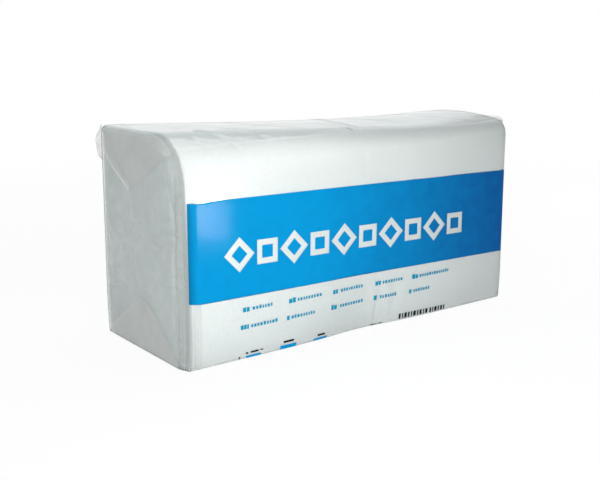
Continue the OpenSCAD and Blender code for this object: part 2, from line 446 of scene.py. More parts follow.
def corner_step(x, z):
    """The front draws back towards its left upright corner, by one step for each napkin."""
    steps = np.zeros(np.shape(x))
    for i, edge in enumerate(LEAF_EDGES):
        place = edge - 0.35 + 0.3 * soft_noise(z / 37, i + 0.5, 41)
        steps += LEAF_STEP * smooth(place + 0.35, place - 0.35, x) - 0.12 * bell(x - place - 0.7, 0.45)
    plain = 1.2 * smooth(-153.0, -163.0, x)
    behind_ink = smooth(38, 44, z) * smooth(130, 123, z)
    return mix(plain, steps, smooth(150, 130, z) * (1 - behind_ink))


def front_depth(y, z):
    """How deep a place of the left end lies inside its rounded front."""
    ahead = np.clip(LEFT_FRONT_RADIUS - HALF_DEPTH - y, 0, None)
    above = np.clip(z - PACK_HEIGHT + LEFT_FRONT_RADIUS, 0, None)
    return LEFT_FRONT_RADIUS - np.hypot(ahead, above)


def cut_at(y, z):
    """How far the left end slants back towards the rounded front."""
    return FAN_SLOPE * np.clip(FAN_DEPTH - front_depth(y, z), 0, FAN_DEPTH) * smooth(2, -30, y)


def strip_lines(y, z):
    """Edges of the front napkins that stand out on the slanted strip."""
    total = np.zeros(np.shape(y))
    for i, edge in enumerate(STRIP_EDGES):
        total += 0.3 * bell(y - edge - 0.5 * soft_noise(z / 33, i + 0.5, 43), 0.55)
    return total * smooth(75, 25, z)


def cut_corner(points, inset):
    """Draws the left upright corner back to the slanted strip."""
    x, y, z = points.T
    cut = cut_at(y, z)
    limit = cut - HALF_LENGTH + inset - strip_lines(y, z) * (cut > 2)
    points[:, 0] = np.where(cut > 0, np.maximum(x, limit), x)


def napkin_relief(x, z):
    """How far the front stands out from the plain form, left corner apart."""
    slack = 0.22 * soft_noise(x / 46, z / 30, 3) + 0.1 * soft_noise(x / 17, z / 23, 5)
    pull = 0.12 * soft_noise(x / 5.5, z / 90, 8) * smooth(60, 20, z)
    inside = smooth(HALF_LENGTH - 3, HALF_LENGTH - 9, np.abs(x))
    return (creases(x, z, FRONT_CREASES) + slack + pull) * inside


def front_relief(x, z):
    """How far the film's front stands out from the plain form."""
    return napkin_relief(x, z) - corner_step(x, z)


def valley_at(x):
    """Depth of the long valley behind the front edge, where the front napkins end."""
    return -48.3 + 2.0 * smooth(-100, 0, x) - 6.2 * smooth(0, 150, x)


def top_relief(x, y):
    """A step down where the front napkins end, slanting creases and soft waves."""
    off = y - valley_at(x)
    valley = 0.5 * smooth(2.0, -2.5, off)
    across = 0.75 * x + 0.66 * y
    over = 0.66 * x - 0.75 * y
    folds = 1 - np.abs(soft_noise(across / 11, over / 42, 7))
    waves = 1 - np.abs(soft_noise(x / 60, (y + 0.1 * x) / 12, 9))
    fine = soft_noise(across / 5, over / 21, 13)
    flat = smooth(-54, -44, y) * (0.3 + 0.7 * smooth(60, 40, y))
    soft = 0.42 * (folds - 0.7) + 0.3 * (waves - 0.7) + 0.12 * fine
    inside = smooth(HALF_LENGTH, HALF_LENGTH - 5, np.abs(x))
    return (creases(x, y, TOP_CREASES) + valley + flat * soft) * inside


def top_flap_line(y):
    """Height of the top flap's slanting edges."""
    off = y - TOP_POINT[0]
    return TOP_POINT[1] + np.where(off > 0, 0.60 * off, -0.57 * off)


def base_flap_line(y):
    """Height of the bottom flap's slanting edges."""
    return BASE_POINT[1] - 0.63 * np.abs(y - BASE_POINT[0])


def bulge(y, z):
    return 0.9 * (1 - (y / HALF_DEPTH) ** 2) * (1 - ((z - 80) / 95) ** 2)


def end_border(y, z, reach):
    """Fades to nothing at the border of an end."""
    top = top_at(-HALF_LENGTH, y, 0, CORNER_RADIUS)
    aside = smooth(0, reach, HALF_DEPTH - CORNER_RADIUS - np.abs(y))
    return aside * smooth(2, 2 + reach, z) * smooth(2, 2 + reach, top - z)


def end_relief(y, z, outward):
    """Crumpled film over the folded edges: y is as seen on the left end."""
    seed = END_SEEDS[outward]
    middle = bell(z - 76, 44)
    bare = smooth(2, -5, z - top_flap_line(y)) * smooth(-2, 5, z - base_flap_line(y))
    broad = facet_noise(y / 24, z / 19, seed)
    small = facet_noise(y / 11, z / 8, seed + 5)
    crumple = 0.8 * broad + (0.15 + 0.35 * middle) * small
    if outward == LEFT:
        own = 0.55 * creases(y, z, END_CREASES)
    else:
        own = 0.5 * facet_noise(y / 15, z / 6, seed + 9)
    raised = (0.2 + 0.8 * bare) * (crumple + own)
    full = end_border(y, z, 12) * (bulge(y, z) + 0.4)
    return np.maximum(full + end_border(y, z, 6) * (raised + 0.2), -0.3)


def relieved(points, normals):
    """Points moved out along their normals by the relief of the front or top that they lie on."""
    x, y, z = points.T
    weights = np.abs(normals) ** 3
    weights /= weights.sum(1, keepdims=True)
    up = normals[:, 2] > 0
    shift = weights[:, 1] * front_relief(x, z) + weights[:, 2] * up * top_relief(x, y)
    return points + normals * shift[:, None]


# The napkins

def leaf_depths(seed):
    """Places of the folded edges from front to back, with how far each edge is set back."""
    rng = np.random.default_rng(seed)
    side = STACK_DEPTH / 2
    edges = [-side]
    while edges[-1] < side - 1.1:
        edges.append(edges[-1] + rng.uniform(0.9, 1.7))
    edges = np.array(edges[:-1] + [side])
    back = rng.uniform(0, 0.45, len(edges)) + 0.6 * (rng.random(len(edges)) < 0.14)
    return edges, back


def fold_relief(y, edges, back):
    """How far the folded edges at y are set back below the plain form."""
    place = np.clip(np.searchsorted(edges, y) - 1, 0, len(edges) - 2)
    width = edges[place + 1] - edges[place]
    share = np.clip((y - edges[place]) / width, 0, 1)
    return back[place] + 0.35 * np.abs(2 * share - 1) ** 3


def build_stack(name, left_end, seed):
    """One stack of napkins: ridged over the top, along the base and on both ends."""
    edges, back = leaf_depths(seed)
    right_end = left_end + NAPKIN_SIDE
    left_radius = CORNER_RADIUS if left_end < 0 else FOLD_RADIUS
    right_radius = FOLD_RADIUS if left_end < 0 else RIGHT_CORNER_RADIUS
    places = corner_places(left_end, 1, left_radius, 6)
    places += [(x, 0.0) for x in np.linspace(left_end + left_radius, right_end - right_radius, 66)[1:-1]]
    places += corner_places(right_end, -1, right_radius, 6)[::-1]
    steps = np.sort(np.concatenate([edges, (edges[:-1] + edges[1:]) / 2]))

    def depths_at(x, tuck):
        return steps * (HALF_DEPTH - NAPKIN_INSET - tuck) / (STACK_DEPTH / 2)

    piece = build_form(name, places, depths_at, NAPKIN_INSET, np.linspace(0, 1, 61), ends=True)
    normals = normals_of(piece)
    points = relieved(points_of(piece), normals)
    x, y, z = points.T
    facing = 1 - np.abs(normals[:, 1]) ** 2
    along_top = 1 + soft_noise(x / 24, y / 2.5, seed)
    up_ends = 1 + soft_noise(z / 31, y / 3.1, seed + 3)
    wander = 0.25 * along_top * up_ends / 2
    points = points - normals * ((fold_relief(y, edges, back) + wander) * facing)[:, None]
    cut_corner(points, NAPKIN_INSET)
    set_points(piece, points)
    return piece


def front_sheet(name, start, end_at, inset):
    """A front napkin from start to end_at(z) along the pack, up the front and over its rounded
    edge as far as the valley behind it, with its cut edges showing."""
    share = np.linspace(0, 1, 84)[:, None]
    rise = np.linspace(0, 1, 70)[None, :]
    x = start + share * (end_at(PACK_HEIGHT * rise) - start)
    radius = front_radius(x)
    straight = 0.8
    reach = np.arccos(np.clip((radius - HALF_DEPTH - valley_at(x)) / radius, 0, 1))
    lean = reach * np.clip((rise - straight) / (1 - straight), 0, 1)
    height = mix(0.4 * BASE_RADIUS, PACK_HEIGHT - radius, np.clip(rise / straight, 0, 1))

    def skin(depth):
        out = radius - depth
        y = radius - HALF_DEPTH - out * np.cos(lean)
        points = formed(x, y, height + out * np.sin(lean))
        normal = np.stack([0 * lean, -np.cos(lean), np.sin(lean)], -1)
        weights = np.abs(normal) ** 3
        weights /= weights.sum(-1, keepdims=True)
        relief = weights[..., 1] * napkin_relief(points[..., 0], points[..., 2])
        relief += weights[..., 2] * top_relief(points[..., 0], points[..., 1])
        return points + normal * relief[..., None]

    outer = skin(inset)
    inner = skin(inset + SHEET_THICKNESS)
    shell = Shell()
    shell.add(outer)
    for edge in (np.s_[0], np.s_[-1], np.s_[:, 0], np.s_[:, -1]):
        shell.add(np.stack([outer[edge], inner[edge]]))
    piece = shell.piece(name)
    piece.data.set_sharp_from_angle(angle=math.radians(40))
    return piece


def seam_x(z):
    """Right edge of the left stack's front napkin, which leans to the left as it rises."""
    return np.interp(z, (0, 20, 46, 82, 126, 150, 170), (14.0, 15.0, 15.5, 6.5, -0.5, -4.0, -4.5))


def build_front_sheets():
    """Front napkins: those of the left stack lie shifted to the right, so that their left edges
    show as steps and the outermost covers the meeting of the stacks."""
    sheets = [front_sheet("napkin_front_left", LEAF_EDGES[0], seam_x, 0.25)]
    for i, place in enumerate(LEAF_EDGES[1:]):
        name = "napkin_step_" + str(i + 1)
        sheets.append(front_sheet(name, place, lambda z: np.full_like(z, LEAF_END), 0.60 + 0.35 * i))
    right = front_sheet("napkin_front_right", RIGHT_SHEET_EDGE, lambda z: seam_x(z) - 0.4, 0.30)
    return sheets + [right]


# The film

def film_depths(x, tuck):
    """Places from front to back, close together where the wrap is round."""
    side = HALF_DEPTH - tuck
    front = front_radius(x)
    lean = np.linspace(0, math.pi / 2, 29)
    turn = np.linspace(0, math.pi / 2, 9)
    start = front - side - front * np.cos(lean)
    end = side - BACK_RADIUS + BACK_RADIUS * np.sin(turn)
    middle = np.linspace(start[-1], end[0], 64)[1:-1]
    return np.concatenate([start, middle, end])


def film_places():
    """Places along the film, closest at its corners and at the meeting of the stacks."""
    left_end = CORNER_RADIUS - HALF_LENGTH
    right_end = HALF_LENGTH - RIGHT_CORNER_RADIUS
    leaves_end, seam_start, seam_end = -149, -12, 32
    leaf_space = 0.35
    leaves = np.arange(left_end + leaf_space, leaves_end, leaf_space)
    left = np.linspace(leaves_end, seam_start, 54)[:-1]
    seam = np.arange(seam_start, seam_end, 0.9)
    right = np.linspace(seam_end, right_end, 54)[:-1]
    middle = [(x, 0.0) for x in np.concatenate([leaves, left, seam, right])]
    left_corner = corner_places(-HALF_LENGTH, 1, CORNER_RADIUS, 8)
    right_corner = corner_places(HALF_LENGTH, -1, RIGHT_CORNER_RADIUS, 10)[::-1]
    return left_corner + middle + right_corner


def strip_shade(y, z):
    """Painted shade that darkens the film on the slanted strip."""
    on_strip = smooth(FAN_DEPTH + 1, FAN_DEPTH - 0.5, front_depth(y, z))
    return 1 - on_strip * (0.12 * smooth(160, 150, z) + 0.045 * smooth(148, 134, z))


def upper_shade(x, y, z):
    """Painted shade along the film's upper front edge, with a little painted light there left of
    the middle, and painted shade where the top turns down at its right end."""
    behind = y - valley_at(x)
    edge = 0.035 * (smooth(-40, 90, x) - smooth(-125, -85, x) * smooth(20, -40, x))
    edge *= smooth(1, -1, behind) * smooth(140, 158, z + 5 * along(x))
    reach = 7 + 6 * smooth(138, 152, x)
    turned = 0.4 * smooth(30, 20, behind) + 0.6 * smooth(reach + 8, reach, behind)
    return edge + 0.33 * smooth(80, 140, x) * smooth(-1, 2, behind) * turned


def leaf_shade(x, z):
    """Painted shadow along the front napkins' cut edges, and painted shade near the corner below the
    band.
    """
    below = smooth(60, 54, z)
    above = smooth(112, 118, z) * smooth(152, 142, z)
    total = (0.04 * smooth(-151, -152.5, x) + 0.14 * smooth(-158.8, -160.2, x)) * below
    for i, (place, (low_shade, high_shade)) in enumerate(zip(LEAF_EDGES, LEAF_SHADES)):
        off = x - place - 0.4 * soft_noise(z / 30, i + 0.5, 45)
        total += (low_shade * below + high_shade * above) * bell(off, 0.5)
    return total


def front_shade(x, y, z):
    """Painted shade on the film's front, its upper edge and its top."""
    # Painted shade, darker towards the right end where the light falls off
    right = 0.05 * smooth(60, HALF_LENGTH, x)
    return upper_shade(x, y, z) + (right + leaf_shade(x, z)) * smooth(-50, -58, y)


def build_film():
    """The film round the sides, with how milky it is and its painted shade at each point."""
    film = build_form("film", film_places(), film_depths, 0.0, np.linspace(0, 1, 81), ends=False)
    normals = normals_of(film)
    points = relieved(points_of(film), normals)
    cut_corner(points, 0.0)
    set_points(film, points)
    x, y, z = points.T
    on_top = smooth(0.5, 0.9, normals[:, 2]) * smooth(-46, -26, y)
    at_base = smooth(2.4, 0.6, z)
    at_right = smooth(161.5, 163.5, x)
    paint(film, "layers", 0.2 * on_top + 0.8 * np.maximum(at_base, at_right))
    at_corner = smooth(-160.5, -161.5, x)
    # Painted shade darkens the film at its back left corner
    back_corner_shade = 0.08 * smooth(-160, -163, x) * smooth(45, 56, y)
    paint(film, "shade", mix(1 - front_shade(x, y, z), strip_shade(y, z), at_corner) - back_corner_shade)
    return film


def build_end_film(name, outward):
    """The crumpled film of one end, its folded-in layers as milky as they are thick, with painted shade.
    """
    radius = CORNER_RADIUS if outward == LEFT else RIGHT_CORNER_RADIUS
    limit = HALF_DEPTH - radius
    depths = np.linspace(-limit, limit, 151)
    if outward == LEFT:
        depths = np.sort(np.concatenate([depths, (depths[:12] + depths[1:13]) / 2]))
    rise = np.linspace(0, 1, 201)
    grid = end_grid((outward * HALF_LENGTH, radius), depths, 0.0, rise)
    shell = Shell()
    shell.add(grid)
    piece = shell.piece(name)
    points = points_of(piece)
    y, z = points.T[1:]
    seen = -outward * y
    points[:, 0] += outward * end_relief(seen, z, outward)
    if outward == LEFT:
        points[:, 0] += cut_at(y, z) - strip_lines(y, z) * smooth(-57.2, -56.6, y)
    set_points(piece, points)
    face_along(piece, (outward, 0, 0))
    folded = 0.6 + 0.4 * smooth(-53.5, -51.5, seen)
    paint(piece, "layers", 0.85 * folded + 0.1 * soft_noise(y / 14, z / 9, END_SEEDS[outward] + 2))
    # Painted shade: the end film darker low down and towards the back
    low_back_shade = 0.06 * smooth(75, 15, z) * smooth(-30, 30, seen)
    paint(piece, "shade", (strip_shade(y, z) if outward == LEFT else 1.0) - low_back_shade)
    return piece


# Flat outlines laid on the wrap

def inside_loop(points, loop):
    """Which points lie inside a closed outline."""
    u, v = points.T
    result = np.zeros(len(points), bool)
    for (u0, v0), (u1, v1) in zip(loop, loop[1:] + loop[:1]):
        if v1 != v0:
            crosses = (v0 > v) != (v1 > v)
            result ^= crosses & (u < u0 + (v - v0) * (u1 - u0) / (v1 - v0))
    return result


def laid_mesh(name, outlines, holes, spacing, lay):
    """A sheet with the given outlines and holes, in small faces, laid in place by lay(u, v)."""
    points, edges = [], []
    for loop in outlines + holes:
        start = len(points)
        points += [Vector(p) for p in loop]
        edges += [(start + i, start + (i + 1) % len(loop)) for i in range(len(loop))]
    corners = np.array([p[:] for p in points])
    low = corners.min(0)
    high = corners.max(0)
    for u in np.arange(low[0] + spacing / 2, high[0], spacing):
        for v in np.arange(low[1] + spacing / 2, high[1], spacing):
            points.append(Vector((u, v)))
    flat, _, faces, _, _, _ = geometry.delaunay_2d_cdt(points, edges, [], 0, 1e-4)
    flat = np.array([p[:] for p in flat])
    middles = np.array([flat[list(face)].mean(0) for face in faces])
    keep = np.zeros(len(faces), bool)
    for loop in outlines:
        keep |= inside_loop(middles, loop)
    for loop in holes:
        keep &= ~inside_loop(middles, loop)
    faces = [tuple(face) for face, kept in zip(faces, keep) if kept]
    used = sorted({i for face in faces for i in face})
    place = {old: new for new, old in enumerate(used)}
    faces = [tuple(place[i] for i in face) for face in faces]
    flat = flat[used]
    return make_mesh(name, lay(flat[:, 0], flat[:, 1]), faces)


def rounded(into, radius):
    """How far a rounded edge has fallen away, into its rounding."""
    into = np.clip(into, 0, radius)
    return radius - np.sqrt(radius ** 2 - into ** 2)


def front_point(x, z):
    """A place of the ink on the wrap's front, at x and height z."""
    fall = rounded(BASE_RADIUS - z, BASE_RADIUS)
    fall = fall + rounded(x - HALF_LENGTH + RIGHT_CORNER_RADIUS, RIGHT_CORNER_RADIUS)
    point = formed(x, fall - HALF_DEPTH, z)
    point[:, 1] -= front_relief(x, point[:, 2]) + INK_RISE
    return point


def tilted(u, v):
    """A place in the print, which falls a little to the right."""
    return (u * math.cos(BAND_FALL) + v * math.sin(BAND_FALL),
            -u * math.sin(BAND_FALL) + v * math.cos(BAND_FALL))


def square_loop(u, v, half, turned):
    """Corners of a square round (u, v), on its side or on its corner."""
    start = 0.0 if turned else math.pi / 4
    reach = half * math.sqrt(2)
    return [
        (u + reach * math.cos(start + k * math.pi / 2), v + reach * math.sin(start + k * math.pi / 2))
        for k in range(4)
    ]


def box_loop(u0, v0, u1, v1):
    return [(u0, v0), (u1, v0), (u1, v1), (u0, v1)]


def build_band():
    """The blue band, with a row of plain square frames left bare."""
    outlines = [[(BAND_LEFT, BAND_BASE), (BAND_RIGHT, BAND_BASE),
                 (BAND_RIGHT, BAND_TOP_RIGHT), (BAND_LEFT, BAND_TOP_LEFT)]]
    holes, islands = [], []
    half_side = MOTIF_DIAGONAL / math.sqrt(2) / 2
    for i in range(MOTIF_COUNT):
        u = MOTIF_SHIFT + (i - (MOTIF_COUNT - 1) / 2) * MOTIF_PITCH
        turned = i % 2 == 0
        holes.append(square_loop(u, -MOTIF_DROP, half_side, turned))
        islands.append(square_loop(u, -MOTIF_DROP, half_side - MOTIF_LINE, turned))

    def lay(u, v):
        """Places in the band, whose edges bend a little at the left upright corner."""
        x, rise = tilted(u, v)
        rise = rise + BAND_BASE_RISE * smooth(-152, -161, u) * smooth(0, BAND_BASE, v)
        rise = rise - BAND_TOP_DROP * smooth(-151.5, -153.5, u) * smooth(0, BAND_TOP_LEFT, v)
        return front_point(x, BAND_MIDDLE + rise)

    band = laid_mesh("ink_band", outlines, holes, INK_FACE, lay)
    centres = laid_mesh("ink_band_centres", islands, [], INK_FACE, lay)
    return [band, centres]


# Two rows of groups of small blocks, as (start, parting of the heavy and the light ones, end)
UPPER_ROW = ((-117.5, -110.5, -90.5), (-76.0, -69.0, -43.5), (-32.5, -25.5, 0), (12.5, 19.0, 42.5),
             (52.5, 59.5, 95.0))
LOWER_ROW = ((-119.5, -112.0, -86.0), (-78.0, -75.0, -50.0), (-34.0, -26.0, 1), (11.5, 17.0, 37.0),
             (49.5, 53.0, 72.5))


def block_row(rng, start, end, lift, width, gap, half):
    """Small blocks of uneven width and height between start and end."""
    loops = []
    left = start
    while left < end - 0.5 * width:
        right = min(left + width * rng.uniform(0.75, 1.25), end)
        high = half * (1.35 if rng.random() < 0.25 else 1.0)
        loops.append(box_loop(left, lift - half, right, lift + high))
        left = right + gap
    return loops


def build_small_print():
    """Two rows of plain blue blocks under the band, each with its height and fall."""
    rng = np.random.default_rng(6)
    loops = []
    for row, height, fall in ((UPPER_ROW, 36.6, 0.012), (LOWER_ROW, 24.2, 0.006)):
        for start, parting, end in row:
            lift = height - fall * start
            loops += block_row(rng, start, parting - 0.6, lift, width=2.7, gap=0.5, half=1.7)
            loops += block_row(rng, parting + 1.4, end, lift, width=1.7, gap=1.0, half=1.15)
    return laid_mesh("ink_small_print", loops, [], INK_FACE, front_point)


def build_edge_squares():
    """Blue blocks that start on the rounding of the bottom front edge."""
    loops = [
        box_loop(-114.5, 0.25, -101.0, 2.2),
        box_loop(-83.5, 0.25, -68.0, 3.4),
        box_loop(-50.5, 0.25, -37.0, 2.2),
    ]
    return laid_mesh("ink_edge_squares", loops, [], FINE_INK_FACE, front_point)


# Widths of the dark bars, from left to right, and the bar that a wider gap follows
BAR_WIDTHS = (2.0, 1.2, 2.6, 1.6, 1.2, 2.8, 1.4, 2.2, 1.2, 2.4, 1.8, 1.2, 2.6, 1.4, 2.2, 1.4)
BAR_GAP = 1.5
BAR_BREAK = 9
BAR_BREAK_GAP = 2.45


def build_dark_marks():
    """Dark dashes over the blue blocks, and a row of dark bars farther right."""
    loops = [
        box_loop(-121.0, 0.8, -119.6, 2.6),
        box_loop(-114.8, 3.7, -112.8, 5.0),
        box_loop(-110.5, 3.8, -103.5, 5.2),
        box_loop(-102.0, 4.2, -99.4, 5.1),
        box_loop(-80.6, 5.2, -70.6, 6.9),
        box_loop(-46.6, 3.6, -39.1, 5.2),
        box_loop(11.0, 0.6, 14.0, 1.6),
        box_loop(15.4, 0.6, 17.2, 1.3),
        box_loop(19.6, 0.6, 22.4, 1.4),
    ]
    left = 40.0
    for i, width in enumerate(BAR_WIDTHS):
        loops.append(box_loop(left, 1.4, left + width, 6.0 - 0.05 * i))
        left += width + (BAR_BREAK_GAP if i == BAR_BREAK else BAR_GAP)
    return laid_mesh("ink_dark_marks", loops, [], FINE_INK_FACE, front_point)


# Folded film of the ends, the lap seam and a loose corner

def build_flap(name, outward, loop, rise, seed):
    """One pointed flap, thin and a little wavy, that lies close to the end film at its edges."""
    def lay(y, z):
        edge = distance_to(y, z, loop + loop[:1])
        ripple = 0.35 * facet_noise(y / 21, z / 17, seed) + 0.08 * soft_noise(y / 6, z / 9, seed + 1)
        lift = rise + (0.5 + ripple) * smooth(0, 8, edge)
        cut = cut_at(y, z) if outward == LEFT else 0.0
        x = outward * (HALF_LENGTH + end_relief(y, z, outward) + lift - cut)
        return np.stack([x, -outward * y, z], -1)

    piece = laid_mesh(name, [loop], [], FLAP_FACE, lay)
    face_along(piece, (outward, 0, 0))
    paint(piece, "shade", 1.0)
    return piece


def end_edge_top(y):
    """Height of the end's upper edge, a little inside the wrap."""
    return float(top_at(-HALF_LENGTH, np.array(y), 0, CORNER_RADIUS)) - 0.8


def build_flaps(side, outward):
    """The two pointed flaps of an end, with the doubled film along one leg of the upper one."""
    top = [TOP_POINT, (3, 126.0), (-8, 132.0), (-24, 140.5), (-38, 148.0), (-45.5, 152.0)]
    top += [(y, end_edge_top(y)) for y in (-46, -42, -36, -29, -20, 0, 20, 40, 48, 52, 54.5)]
    top += [(55, 156), (54, 146.5), (40, 136.5), (27, 129.5)]
    hem = [TOP_POINT, (7, 124.5), (17, 131.5), (29, 141), (38, 148.5), (44, 158), (54, 161), (55, 147),
           (40, 136.8), (27, 129.8)]
    base = [BASE_POINT, (-13, 38.5), (-25, 30.5), (-36, 21.0), (-46, 11.5), (-51, 4), (-51, 2), (54, 2)]
    base += [(54, 8), (37.5, 18), (23, 27.5), (9, 36.5)]
    return [
        build_flap("film_flap_top_" + side, outward, top, rise=0.12, seed=71),
        build_flap("film_flap_hem_" + side, outward, hem, rise=0.7, seed=71),
        build_flap("film_flap_base_" + side, outward, base, rise=0.12, seed=83),
    ]


def build_lap():
    """The wrap's lengthwise seam: a second layer of film on the back."""
    inner = HALF_LENGTH - CORNER_RADIUS
    base, top, rise = 84, 100.0, 0.45

    def lay(x, z):
        point = formed(x, np.full_like(x, HALF_DEPTH), z)
        wave = 0.25 * soft_noise(x / 13, z / 9, 21)
        point[:, 1] += front_relief(x, point[:, 2]) + rise + wave * smooth(base, base + 6, z)
        return point

    count = 60
    lower = [(-inner + 2 * inner * i / count, base + 0.6 * math.sin(i * 0.7)) for i in range(count + 1)]
    piece = laid_mesh("film_lap", [lower + [(inner, top), (-inner, top)]], [], LAP_FACE, lay)
    face_along(piece, (0, 1, 0))
    paint(piece, "shade", 1.0)
    return piece


def build_ear():
    """A loose corner of film that sticks out at the upper back of the left end."""
    rim = ((-165.4, 57.2, 166.0), (-166.4, 59.8, 162.5), (-167.6, 62.4, 158.5), (-168.2, 63.8, 154.5),
           (-168.1, 62.6, 150.0), (-167.8, 62.8, 146.0), (-167.3, 61.4, 142.0), (-166.2, 58.2, 139.5))
    root = ((-165.2, 56.2, 165.2), (-165.6, 56.6, 162.0), (-165.9, 56.8, 158.0), (-165.9, 57.0, 154.0),
            (-165.9, 57.0, 150.0), (-165.9, 57.0, 146.0), (-165.9, 57.0, 142.0), (-165.9, 57.2, 139.0))
    pleat = 1.5
    turn = 2.2
    rows = []
    for share in np.linspace(0, 1, 7):
        row = mix(np.array(root), np.array(rim), share)
        row[:, 0] -= pleat * math.sin(share * math.pi) * np.cos(np.arange(len(row)) * turn)
        rows.append(row)
    shell = Shell()
    shell.add(np.array(rows))
    piece = shell.piece("film_ear")
    y, z = points_of(piece).T[1:]
    # Painted shade: the ear darker than plain film, and unevenly so along its pleats
    paint(piece, "shade", 0.80 + 0.14 * soft_noise((y + z) / 4, y / 9, 61))
    return piece


# Materials

def add_node(tree, kind, inputs, operation=None):
    """A node whose inputs are set to plain values or linked to the outputs of other nodes."""
    node = tree.nodes.new(kind)
    if operation:
        node.operation = operation
    for name, value in inputs.items():
        if isinstance(value, bpy.types.NodeSocket):
            tree.links.new(value, node.inputs[name])
        else:
            node.inputs[name].default_value = value
    return node


def object_place(tree):
    """Places in the part's own metres."""
    return tree.nodes.new("ShaderNodeTexCoord").outputs["Object"]


def painted(tree, name):
    """The number that paint() kept under this name."""
    node = tree.nodes.new("ShaderNodeAttribute")
    node.attribute_name = name
    return node.outputs["Fac"]


def noise(tree, scale, detail):
    inputs = {"Vector": object_place(tree), "Scale": scale, "Detail": detail}
    return add_node(tree, "ShaderNodeTexNoise", inputs).outputs["Fac"]


def bump(tree, height, strength, distance):
    inputs = {"Height": height, "Strength": strength, "Distance": distance}
    return add_node(tree, "ShaderNodeBump", inputs).outputs["Normal"]


def remap(tree, value, source, target, interpolation="LINEAR"):
    """Takes a value from the span source to the span target, and holds it at the ends."""
    node = add_node(tree, "ShaderNodeMapRange", {"Value": value})
    node.interpolation_type = interpolation
    for name, number in zip(("From Min", "From Max", "To Min", "To Max"), source + target):
        node.inputs[name].default_value = number
    return node.outputs["Result"]


def ramp(tree, value, source, colours):
    """Blends from the first colour to the second while the value runs over the span source."""
    tone = add_node(tree, "ShaderNodeValToRGB", {"Fac": value})
    for element, position, colour in zip(tone.color_ramp.elements, source, colours):
        element.position = position
        element.color = (*colour, 1)
    return tone.outputs["Color"]


def blend(tree, share, first, second):
    """The first shader with a share of the second."""
    inputs = {"Fac": share, 1: first.outputs[0], 2: second.outputs[0]}
    return add_node(tree, "ShaderNodeMixShader", inputs)


def new_material(name):
    material = bpy.data.materials.new(name)
    material.use_nodes = True
    material.node_tree.nodes.clear()
    return material, material.node_tree


def show(tree, shader, output="ShaderNodeOutputMaterial"):
    """Makes this shader the surface."""
    add_node(tree, output, {"Surface": shader.outputs[0]})


def paper_material():
    """Soft white tissue with a faint crepe."""
    material, tree = new_material("paper")
    fleck = noise(tree, scale=900, detail=3)
    show(tree, add_node(tree, "ShaderNodeBsdfPrincipled", {
        "Base Color": ramp(tree, fleck, (0.3, 0.7), ((0.80, 0.805, 0.80), (0.88, 0.88, 0.875))),
        "Roughness": 0.9,
        "Specular IOR Level": 0.2,
        "Normal": bump(tree, fleck, strength=0.25, distance=0.0004),
    }))
    return material


def film_material(name, thin, thick, tint, milk_colour):
    """Clear glossy film: shiny by its angle, and milkier where it lies in several layers, from
    thin to thick as the share of milk. The painted shade scales its tint and its milk."""
    material, tree = new_material(name)
    shade = painted(tree, "shade")
    shaded_tint, shaded_milk = [
        add_node(tree, "ShaderNodeVectorMath", {0: colour, "Scale": shade}, "SCALE").outputs[0]
        for colour in (tint, milk_colour)
    ]
    relief = bump(tree, noise(tree, scale=260, detail=2), strength=0.15, distance=0.0004)
    clear = add_node(tree, "ShaderNodeBsdfTransparent", {"Color": shaded_tint})
    milk = add_node(tree, "ShaderNodeBsdfDiffuse", {"Color": shaded_milk, "Normal": relief})
    mirror = {"Color": (1, 1, 1, 1), "Roughness": 0.14, "Normal": relief}
    gloss = add_node(tree, "ShaderNodeBsdfGlossy", mirror)
    shine = add_node(tree, "ShaderNodeFresnel", {"IOR": 1.4, "Normal": relief})
    haze = remap(tree, painted(tree, "layers"), (0.0, 1.0), (thin, thick))
    uneven = remap(tree, noise(tree, scale=45, detail=4), (0.3, 0.7), (0.93, 1.07))
    amount = add_node(tree, "ShaderNodeMath", {0: haze, 1: uneven}, "MULTIPLY")
    body = blend(tree, amount.outputs[0], clear, milk)
    show(tree, blend(tree, shine.outputs[0], body, gloss))
    return material


# Where painted shade darkens the ink towards the right and round the left corner, in metres
# along the pack, what is left of its colour past the corner, and how much its tone clouds
INK_SHADE_SPAN = (-0.05, 0.20)
INK_CORNER = (-0.1625, -0.1535)
INK_CORNER_SHADE = 0.5
INK_CLOUD = 0.3


def ink_material(name, left, right):
    """Printed ink under the film's gloss, with a slightly uneven tone, and painted shade that darkens
    it from the left colour to the right one and where the ink turns round the left corner."""
    material, tree = new_material(name)
    x = add_node(tree, "ShaderNodeSeparateXYZ", {0: object_place(tree)}).outputs["X"]
    # Painted shade: the ink's tone darkens from its left colour to its right one along the pack
    across = remap(tree, x, INK_SHADE_SPAN, (0.0, 1.0))
    clouded = {0: noise(tree, scale=120, detail=3), 1: INK_CLOUD, 2: across}
    uneven = add_node(tree, "ShaderNodeMath", clouded, "MULTIPLY_ADD").outputs[0]
    tone = ramp(tree, uneven, (0.15, 1.0), (left, right))
    # Painted shade where the ink turns round the left corner
    corner = remap(tree, x, INK_CORNER, (INK_CORNER_SHADE, 1.0), "SMOOTHSTEP")
    corner_shaded = add_node(tree, "ShaderNodeVectorMath", {0: tone, "Scale": corner}, "SCALE")
    show(tree, add_node(tree, "ShaderNodeBsdfPrincipled", {
        "Base Color": corner_shaded.outputs[0],
        "Roughness": 0.11,
        "Specular IOR Level": 0.03,
    }))
    return material


# Build

PAPER = paper_material()
FILM = film_material(
    "film", thin=0.05, thick=0.50, tint=(0.96, 0.985, 0.98), milk_colour=(0.76, 0.84, 0.83)
)
FLAP_FILM = film_material(
    "film_flap", thin=0.42, thick=0.42, tint=(0.985, 0.985, 0.98), milk_colour=(0.88, 0.90, 0.89)
)
